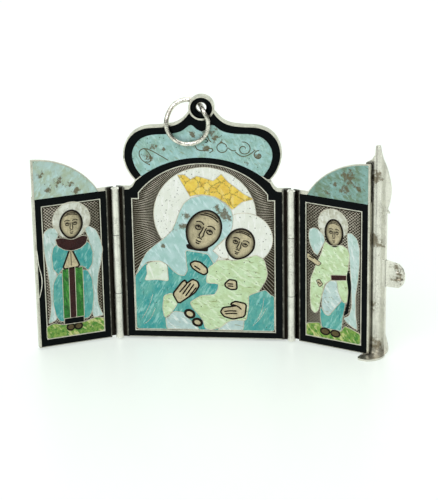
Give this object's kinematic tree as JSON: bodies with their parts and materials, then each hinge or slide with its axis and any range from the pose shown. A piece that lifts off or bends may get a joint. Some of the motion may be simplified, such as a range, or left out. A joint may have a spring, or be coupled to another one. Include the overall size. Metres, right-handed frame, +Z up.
{
  "type": "travelling triptych icon pendant",
  "caption": "Small enamelled silver triptych: an arched centre panel with a crest and hanging ring, and hinged wings that fold over it, one with a cover bar.",
  "frame": {"origin": "middle of the centre panel's underside", "axes": "+X across the panel to the viewer's right, +Y from the pictures to the back, +Z up towards the crest"},
  "size_m": [0.0914, 0.0137, 0.0651],
  "materials": {
    "silver": "worn silver sheet, softly scratched, warm tarnish in the corners",
    "engraved_silver": "silver engraved with close lines, dark with tarnish",
    "hinge_silver": "drawn silver tube, bright on the crown, dark in the joints",
    "silver_wire": "polished silver wire with a soldered joint",
    "bar_silver": "pale satin silver with fine scratches",
    "black_enamel": "glossy black enamel with small pits and edge chips",
    "light_blue_enamel": "opaque light-blue enamel, mottled, with brown specks and pits"
  },
  "bodies": {
    "centre": {"centre_plate": "silver", "centre_picture": "engraved_silver", "centre_border_enamel": "black_enamel", "crest_edge_enamel": "black_enamel", "crest_field_enamel": "light_blue_enamel", "jump_ring": "silver_wire", "left_hinge_upper_knuckle": "hinge_silver", "left_hinge_lower_knuckle": "hinge_silver", "left_hinge_pin": "hinge_silver", "right_hinge_upper_knuckle": "hinge_silver", "right_hinge_lower_knuckle": "hinge_silver", "right_hinge_pin": "hinge_silver"},
    "left_wing": {"left_wing_plate": "silver", "left_wing_picture": "engraved_silver", "left_wing_border_enamel": "black_enamel", "left_lunette_enamel": "light_blue_enamel", "left_hinge_middle_knuckle": "hinge_silver"},
    "right_wing": {"right_wing_plate": "silver", "right_wing_picture": "engraved_silver", "right_wing_border_enamel": "black_enamel", "right_lunette_enamel": "light_blue_enamel", "right_hinge_middle_knuckle": "hinge_silver", "cover_bar": "bar_silver"}
  },
  "joints": [
    {"name": "left_wing_hinge", "type": "hinge", "parent": "centre", "child": "left_wing", "pos_m": [-0.0217, -0.00108, 0.02], "axis": [0, 0, 1], "range_deg": [-22.8, 157.2]},
    {"name": "right_wing_hinge", "type": "hinge", "parent": "centre", "child": "right_wing", "pos_m": [0.0217, -0.00108, 0.02], "axis": [0, 0, -1], "range_deg": [-21.5, 158.5]}
  ]
}
